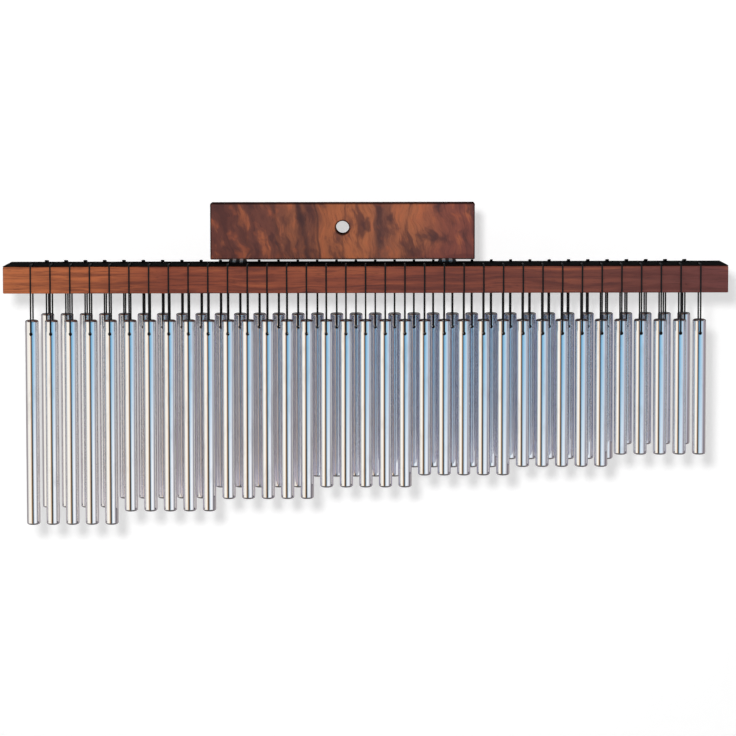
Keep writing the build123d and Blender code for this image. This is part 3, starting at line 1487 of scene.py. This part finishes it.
@dataclass
class Mantle:
    """The long beam that the cords hang from, with its felt strip and a hole for each cord."""

    layout: Layout
    wood: MantleWood = MantleWood()
    felt: BlackFelt = BlackFelt()
    edge: float = 0.8 * MM
    edge_segments: int = 4
    strip_edge: float = 0.3 * MM
    strip_segments: int = 3
    hole_radius: float = 0.95 * MM
    hole_sides: int = 16
    drill_spare: float = 2 * MM

    def build(self) -> None:
        """Model and dress the beam and its strip."""
        beam = self.make_slab("mantle", self.edge, self.edge_segments)
        dress(beam, "mantle_beam", Slot.MANTLE_WOOD, self.wood.make())
        strip = self.make_slab("top_strip", self.strip_edge, self.strip_segments)
        dress(strip, "mantle_felt", Slot.STRIP_BLACK, self.felt.make())
        for piece, node in ((beam, "mantle"), (strip, "top_strip")):
            settle(piece, Body.MANTLE.value, node)

    def make_slab(self, node: str, edge: float, segments: int) -> bpy.types.Object:
        """Model a slab that fills a node's box, with rounded edges and the cord holes.

        Args:
            node: The node that it stands for.
            edge: Radius of its edges.
            segments: Segments of each edge.

        Returns:
            The slab.
        """
        low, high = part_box(node)
        slab = add_block(low, high, edge, segments)
        cut_away(slab, self.make_drills(low.z, high.z))
        return slab

    def make_drills(self, low: float, high: float) -> bpy.types.Object:
        """Model the cutters of all cord holes.

        Args:
            low: The lower face of what is drilled.
            high: Its upper face.

        Returns:
            The cutters as one object.
        """
        drills = []
        for row in Row:
            front, back, _ = self.layout.cord_line(row)
            inner = back.y if row is Row.FRONT else front.y
            for bar in self.layout.row(row):
                drill = add_shape(
                    "cylinder",
                    vertices=self.hole_sides,
                    radius=self.hole_radius,
                    depth=high - low + 2 * self.drill_spare,
                    location=(bar.top.x, inner, (low + high) / 2),
                )
                drills.append(drill)
        make_active(drills[0])
        for drill in drills:
            drill.select_set(True)
        bpy.ops.object.join()
        apply_place()
        return drills[0]


@dataclass
class HangerBoard:
    """The board, with a hang hole whose edges are broken."""

    wood: BoardWood = BoardWood()
    edge: float = 0.8 * MM
    edge_segments: int = 4
    hole_flare: float = 0.2 * MM
    hole_sides: int = 64

    def build(self) -> None:
        """Model and dress the board."""
        low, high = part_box("hanger_board")
        board = add_block(low, high, self.edge, self.edge_segments)
        cut_away(board, add_drill(self.wood.hole, high.y - low.y, self.hole_flare, self.hole_sides))
        dress(board, "board_panel", Slot.BOARD_WOOD, self.wood.make())
        settle(board, Body.BOARD.value, "hanger_board")


@dataclass
class Hinges:
    """The two small hinges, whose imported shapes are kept."""

    layout: Layout
    barrel: float = 1.6 * MM
    steel: BrightSteel = BrightSteel()

    def build(self) -> None:
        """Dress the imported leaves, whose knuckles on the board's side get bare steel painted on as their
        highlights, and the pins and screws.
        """
        fold = next(joint for joint in self.layout.frame["joints"] if joint["name"] == "mantle_fold")
        pin = tuple(fold["pos_m"][1:])
        finishes = {"_pin": self.steel.make()}
        finishes["_screws"] = finishes["_pin"]
        for body in Body:
            enamel = BlackEnamel(f"hinge_black_{body.value}", pin, self.barrel, knuckle_highlights=body is Body.BOARD)
            finishes[f"_{body.value}_leaf"] = enamel.make()
        for name, node in self.layout.frame["nodes"].items():
            for ending, material in finishes.items():
                if name.endswith(ending):
                    self.finish_node(node, material)

    def finish_node(self, node: bpy.types.Object, material: bpy.types.Material) -> None:
        """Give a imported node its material.

        Args:
            node: The node.
            material: The material.
        """
        for slot in node.material_slots:
            slot.material = material
        LOG.info("%s keeps its packed shape", node.name)


@dataclass
class Studio:
    """The white room round the object: a wall, a floor, a ring of light cards and one lamp.

    Attributes:
        sheet: Width of the wall and the floor.
        wall_y: Where the wall stands.
        floor_z: Where the floor lies.
        ring_low: The ring's lower edge.
        ring_high: The ring's upper edge.
        sky_low: Even light from the sides and below.
        sky_high: Even light from above.
        sky_change: From which height to which it changes, on a sky of radius 1.
        glossy_sky: What polished surfaces see past the cards.
        glossy_top: What they see overhead.
        glossy_change: From which height to which that changes.
        lamp_aim: What the lamp is turned to.
        lamp_distance: How far the lamp is from there.
        lamp_azimuth: The lamp's bearing in degrees, to the left of the camera's side.
        lamp_elevation: The lamp's height in degrees.
        lamp_power: The lamp's power in watts.
    """

    wall_paper: WallPaper = WallPaper()
    floor_paper: FloorPaper = FloorPaper()
    cards: LightCards = LightCards()
    sheet: float = 6.0
    wall_y: float = 0.112
    floor_z: float = -0.6
    ring_radius: float = 1.2
    ring_low: float = -1.0
    ring_high: float = 0.3
    ring_sides: int = 96
    sky_low: float = 0.66
    sky_high: float = 0.10
    sky_change: Span = (0.05, 0.6)
    glossy_sky: Colour = (0.07, 0.065, 0.07, 1.0)
    glossy_top: Colour = (0.45, 0.45, 0.46, 1.0)
    glossy_change: Span = (0.8, 0.96)
    lamp_aim: tuple[float, float, float] = (0.0, 0.0, -0.1)
    lamp_distance: float = 1.6
    lamp_azimuth: float = 2.5
    lamp_elevation: float = 11.5
    lamp_size: float = 0.1
    lamp_power: float = 16.6

    def build(self) -> None:
        """Set up the room."""
        self.light_world()
        upright = (math.pi / 2, 0, 0)
        wall = add_shape("plane", size=self.sheet, location=(0, self.wall_y, 0), rotation=upright)
        apply_place()
        floor = add_shape("plane", size=self.sheet, location=(0, 0, self.floor_z))
        apply_place()
        ring = self.make_ring()
        finishes = {"wall": self.wall_paper, "floor": self.floor_paper, "light_cards": self.cards}
        for piece, (name, finish) in zip((wall, floor, ring), finishes.items()):
            piece.name = name
            piece.data.materials.append(finish.make())
        self.hang_lamp()
        view = bpy.context.scene.view_settings
        view.view_transform = "Standard"
        LOG.info("studio is set")

    def make_ring(self) -> bpy.types.Object:
        """Add the ring of cards that only polished surfaces see.

        Returns:
            The ring.
        """
        ring = add_shape(
            "cylinder",
            vertices=self.ring_sides,
            radius=self.ring_radius,
            depth=self.ring_high - self.ring_low,
            location=(0, 0, (self.ring_high + self.ring_low) / 2),
            end_fill_type="NOTHING",
        )
        apply_place()
        ring.visible_camera = False
        ring.visible_diffuse = False
        ring.visible_shadow = False
        ring.visible_transmission = False
        return ring

    def light_world(self) -> None:
        """Set the even light, and the white that the camera sees past the paper."""
        world = bpy.data.worlds.new("white_room")
        bpy.context.scene.world = world
        g = Graph(world)
        rays = g.add("LightPath").outputs
        height = g.axes(g.add("TexCoord").outputs["Generated"])[2]
        even = g.mix(g.span(height, *self.sky_change), grey(self.sky_low), grey(self.sky_high))
        seen = g.mix(g.span(height, *self.glossy_change), self.glossy_sky, self.glossy_top)
        mirrored = g.mix(rays["Is Glossy Ray"], even, seen)
        colour = g.mix(rays["Is Camera Ray"], mirrored, grey(1.0))
        g.close(g.add("Background", {"Color": colour}).outputs[0], "OutputWorld")

    def hang_lamp(self) -> None:
        """Hang the lamp up to the left, so that shadows fall to the lower right."""
        azimuth = math.radians(self.lamp_azimuth)
        elevation = math.radians(self.lamp_elevation)
        flat = math.cos(elevation)
        towards = Vector((-math.sin(azimuth) * flat, -math.cos(azimuth) * flat, math.sin(elevation)))
        lamp = bpy.data.lights.new("key_lamp", "AREA")
        lamp.shape = "DISK"
        lamp.size = self.lamp_size
        lamp.energy = self.lamp_power
        holder = bpy.data.objects.new("key_lamp", lamp)
        holder.location = Vector(self.lamp_aim) + towards * self.lamp_distance
        holder.rotation_euler = towards.to_track_quat("Z", "Y").to_euler()
        holder.visible_glossy = False
        bpy.context.scene.collection.objects.link(holder)


@dataclass(frozen=True)
class Viewpoint:
    """The photograph's camera.

    Attributes:
        place: Where it stands.
        pitch: How far it looks down, in degrees.
        roll: How far it leans, in degrees.
        lens: Focal length in millimetres.
        sensor: Sensor width in millimetres.
        shift: Vertical shift, in picture widths.
    """

    place: tuple[float, float, float] = (0.0185, -1.529, 0.1065)
    pitch: float = 2.83
    roll: float = 0.1
    lens: float = 103.9
    sensor: float = 36.0
    shift: float = -0.25

    def build(self) -> None:
        """Add the camera and make it the scene's own."""
        camera = bpy.data.cameras.new("photo_camera")
        camera.lens = self.lens
        camera.sensor_width = self.sensor
        camera.sensor_fit = "HORIZONTAL"
        camera.shift_y = self.shift
        camera.clip_start = 0.01
        holder = bpy.data.objects.new("photo_camera", camera)
        holder.location = self.place
        holder.rotation_euler = (math.radians(90 - self.pitch), math.radians(self.roll), 0)
        bpy.context.scene.collection.objects.link(holder)
        bpy.context.scene.camera = holder
        LOG.info("camera stands at %s", self.place)


def main() -> None:
    """Build every sub-assembly in order."""
    logging.basicConfig(level=logging.INFO, format="%(name)s: %(message)s")
    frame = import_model()
    layout = Layout(frame)
    Viewpoint().build()
    CordLoops(layout).build()
    ChimeBars(layout).build()
    Mantle(layout).build()
    HangerBoard().build()
    Hinges(layout).build()
    Studio().build()


if __name__ == "__main__":
    main()
